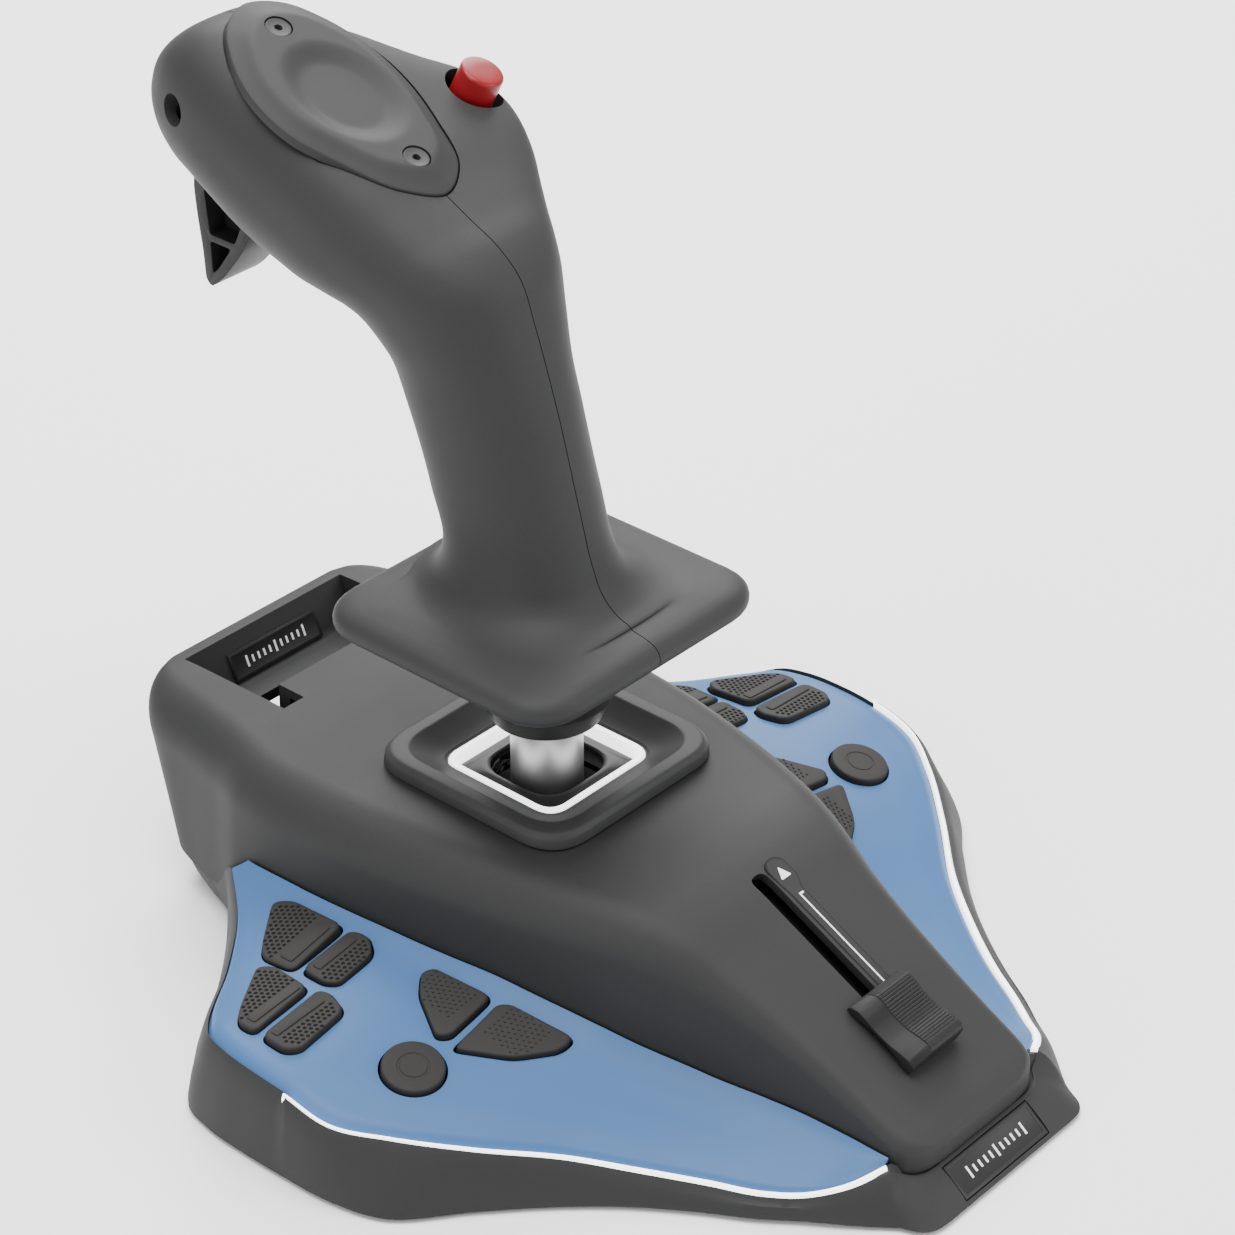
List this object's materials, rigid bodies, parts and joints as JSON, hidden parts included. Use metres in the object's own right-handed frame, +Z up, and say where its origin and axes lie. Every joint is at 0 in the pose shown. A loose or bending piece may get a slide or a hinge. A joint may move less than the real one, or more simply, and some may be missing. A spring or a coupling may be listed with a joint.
{
  "type": "flight joystick",
  "caption": "Desktop flight joystick: low winged base with keys and a sliding lever, and a leaning pistol grip with trigger and thumb button on a sprung gimbal.",
  "frame": {"origin": "middle of the footprint's bounding box, on the surface that the feet stand on", "axes": "+X the user's right, +Y away from the user, +Z up"},
  "size_m": [0.2184, 0.251, 0.2153],
  "materials": {
    "charcoal_plastic": "fine spark-eroded texture",
    "black_plastic": "smooth matte moulding",
    "key_plastic": "warm grey matte moulding",
    "blue_plastic": "satin light steel blue",
    "light_guide": "white diffusing light guide",
    "red_plastic": "glossy red",
    "satin_aluminium": "satin turned",
    "steel": "plain",
    "circuit_board": "solder-masked board",
    "rubber": "matte"
  },
  "bodies": {
    "base": {"bottom_cover": "black_plastic", "button_board_left": "circuit_board", "button_board_right": "circuit_board", "foot_front_left": "rubber", "foot_front_right": "rubber", "foot_rear_left": "rubber", "foot_rear_right": "rubber", "front_badge": "black_plastic", "gate_plate": "black_plastic", "gimbal_bezel": "charcoal_plastic", "gimbal_cradle": "black_plastic", "light_ring": "light_guide", "light_strip_left": "light_guide", "light_strip_right": "light_guide", "lower_shell": "charcoal_plastic", "main_board": "circuit_board", "pitch_spring": "steel", "rear_badge": "black_plastic", "slider_rail": "black_plastic", "upper_housing": "charcoal_plastic", "usb_port": "steel", "wing_panel_left": "blue_plastic", "wing_panel_right": "blue_plastic"},
    "pitch": {"pitch_axle_left": "steel", "pitch_axle_right": "steel", "pitch_frame": "steel", "roll_spring": "steel"},
    "roll": {"roll_axle_front": "steel", "roll_axle_rear": "steel", "roll_hub": "black_plastic", "stick_shaft": "satin_aluminium"},
    "grip": {"cover_screw_front": "black_plastic", "cover_screw_rear": "black_plastic", "grip_board": "circuit_board", "grip_left_shell": "charcoal_plastic", "grip_right_shell": "charcoal_plastic", "locking_collar": "black_plastic", "nose_screw": "steel", "release_tab": "black_plastic", "top_cover": "charcoal_plastic", "trigger_pin": "steel", "trigger_spring": "steel", "twist_spring": "steel"},
    "trigger": {"trigger": "black_plastic"},
    "thumb_button": {"thumb_button": "red_plastic"},
    "slider": {"slider_knob": "black_plastic"},
    "left_arrow_front_button": {"left_arrow_front_button": "key_plastic"},
    "left_arrow_rear_button": {"left_arrow_rear_button": "key_plastic"},
    "left_hat_outer_button": {"left_hat_outer_button": "key_plastic"},
    "left_hat_rear_button": {"left_hat_rear_button": "key_plastic"},
    "left_key_outer_button": {"left_key_outer_button": "key_plastic"},
    "left_key_rear_button": {"left_key_rear_button": "key_plastic"},
    "left_round_button": {"left_round_button": "key_plastic"},
    "right_arrow_front_button": {"right_arrow_front_button": "key_plastic"},
    "right_arrow_rear_button": {"right_arrow_rear_button": "key_plastic"},
    "right_hat_outer_button": {"right_hat_outer_button": "key_plastic"},
    "right_hat_rear_button": {"right_hat_rear_button": "key_plastic"},
    "right_key_outer_button": {"right_key_outer_button": "key_plastic"},
    "right_key_rear_button": {"right_key_rear_button": "key_plastic"},
    "right_round_button": {"right_round_button": "key_plastic"}
  },
  "joints": [
    {"name": "pitch_tilt", "type": "hinge", "parent": "base", "child": "pitch", "pos_m": [0, 0.01391, 0.039], "axis": [1, 0, 0], "range_deg": [-14, 14], "stiffness_Nm_per_rad": 4},
    {"name": "roll_tilt", "type": "hinge", "parent": "pitch", "child": "roll", "pos_m": [0, 0.01391, 0.039], "axis": [0, 1, 0], "range_deg": [-14, 14], "stiffness_Nm_per_rad": 4},
    {"name": "grip_twist", "type": "hinge", "parent": "roll", "child": "grip", "pos_m": [0, 0.01391, 0.075], "axis": [0, 0, 1], "range_deg": [-18, 18], "stiffness_Nm_per_rad": 0.6},
    {"name": "trigger_pull", "type": "hinge", "parent": "grip", "child": "trigger", "pos_m": [0, 0.10951, 0.1786], "axis": [-1, 0, 0], "range_deg": [0, 11], "stiffness_Nm_per_rad": 0.3, "springref_deg": -8.59},
    {"name": "thumb_press", "type": "slide", "parent": "grip", "child": "thumb_button", "axis": [-0.12, 0.4101, -0.9041], "range_m": [0, 0.0025], "stiffness_N_per_m": 500, "springref_m": -0.0015},
    {"name": "slider_travel", "type": "slide", "parent": "base", "child": "slider", "axis": [0, 0.8965, 0.4431], "range_m": [0, 0.036]},
    {"name": "left_arrow_front_press", "type": "slide", "parent": "base", "child": "left_arrow_front_button", "axis": [0.1444, 0.2812, -0.9487], "range_m": [0, 0.001], "stiffness_N_per_m": 800, "springref_m": -0.0008},
    {"name": "left_arrow_rear_press", "type": "slide", "parent": "base", "child": "left_arrow_rear_button", "axis": [0.1191, 0.1256, -0.9849], "range_m": [0, 0.001], "stiffness_N_per_m": 800, "springref_m": -0.0008},
    {"name": "left_hat_outer_press", "type": "slide", "parent": "base", "child": "left_hat_outer_button", "axis": [0.0914, -0.0552, -0.9943], "range_m": [0, 0.001], "stiffness_N_per_m": 800, "springref_m": -0.0008},
    {"name": "left_hat_rear_press", "type": "slide", "parent": "base", "child": "left_hat_rear_button", "axis": [0.2018, -0.0503, -0.9781], "range_m": [0, 0.001], "stiffness_N_per_m": 800, "springref_m": -0.0008},
    {"name": "left_key_outer_press", "type": "slide", "parent": "base", "child": "left_key_outer_button", "axis": [0.0646, 0.001, -0.9979], "range_m": [0, 0.001], "stiffness_N_per_m": 800, "springref_m": -0.0008},
    {"name": "left_key_rear_press", "type": "slide", "parent": "base", "child": "left_key_rear_button", "axis": [0.1351, 0.0324, -0.9903], "range_m": [0, 0.001], "stiffness_N_per_m": 800, "springref_m": -0.0008},
    {"name": "left_round_press", "type": "slide", "parent": "base", "child": "left_round_button", "axis": [0.089, 0.211, -0.9734], "range_m": [0, 0.001], "stiffness_N_per_m": 800, "springref_m": -0.0008},
    {"name": "right_arrow_front_press", "type": "slide", "parent": "base", "child": "right_arrow_front_button", "axis": [-0.1444, 0.2812, -0.9487], "range_m": [0, 0.001], "stiffness_N_per_m": 800, "springref_m": -0.0008},
    {"name": "right_arrow_rear_press", "type": "slide", "parent": "base", "child": "right_arrow_rear_button", "axis": [-0.1191, 0.1256, -0.9849], "range_m": [0, 0.001], "stiffness_N_per_m": 800, "springref_m": -0.0008},
    {"name": "right_hat_outer_press", "type": "slide", "parent": "base", "child": "right_hat_outer_button", "axis": [-0.0914, -0.0552, -0.9943], "range_m": [0, 0.001], "stiffness_N_per_m": 800, "springref_m": -0.0008},
    {"name": "right_hat_rear_press", "type": "slide", "parent": "base", "child": "right_hat_rear_button", "axis": [-0.2018, -0.0503, -0.9781], "range_m": [0, 0.001], "stiffness_N_per_m": 800, "springref_m": -0.0008},
    {"name": "right_key_outer_press", "type": "slide", "parent": "base", "child": "right_key_outer_button", "axis": [-0.0646, 0.001, -0.9979], "range_m": [0, 0.001], "stiffness_N_per_m": 800, "springref_m": -0.0008},
    {"name": "right_key_rear_press", "type": "slide", "parent": "base", "child": "right_key_rear_button", "axis": [-0.1351, 0.0324, -0.9903], "range_m": [0, 0.001], "stiffness_N_per_m": 800, "springref_m": -0.0008},
    {"name": "right_round_press", "type": "slide", "parent": "base", "child": "right_round_button", "axis": [-0.089, 0.211, -0.9734], "range_m": [0, 0.001], "stiffness_N_per_m": 800, "springref_m": -0.0008}
  ]
}
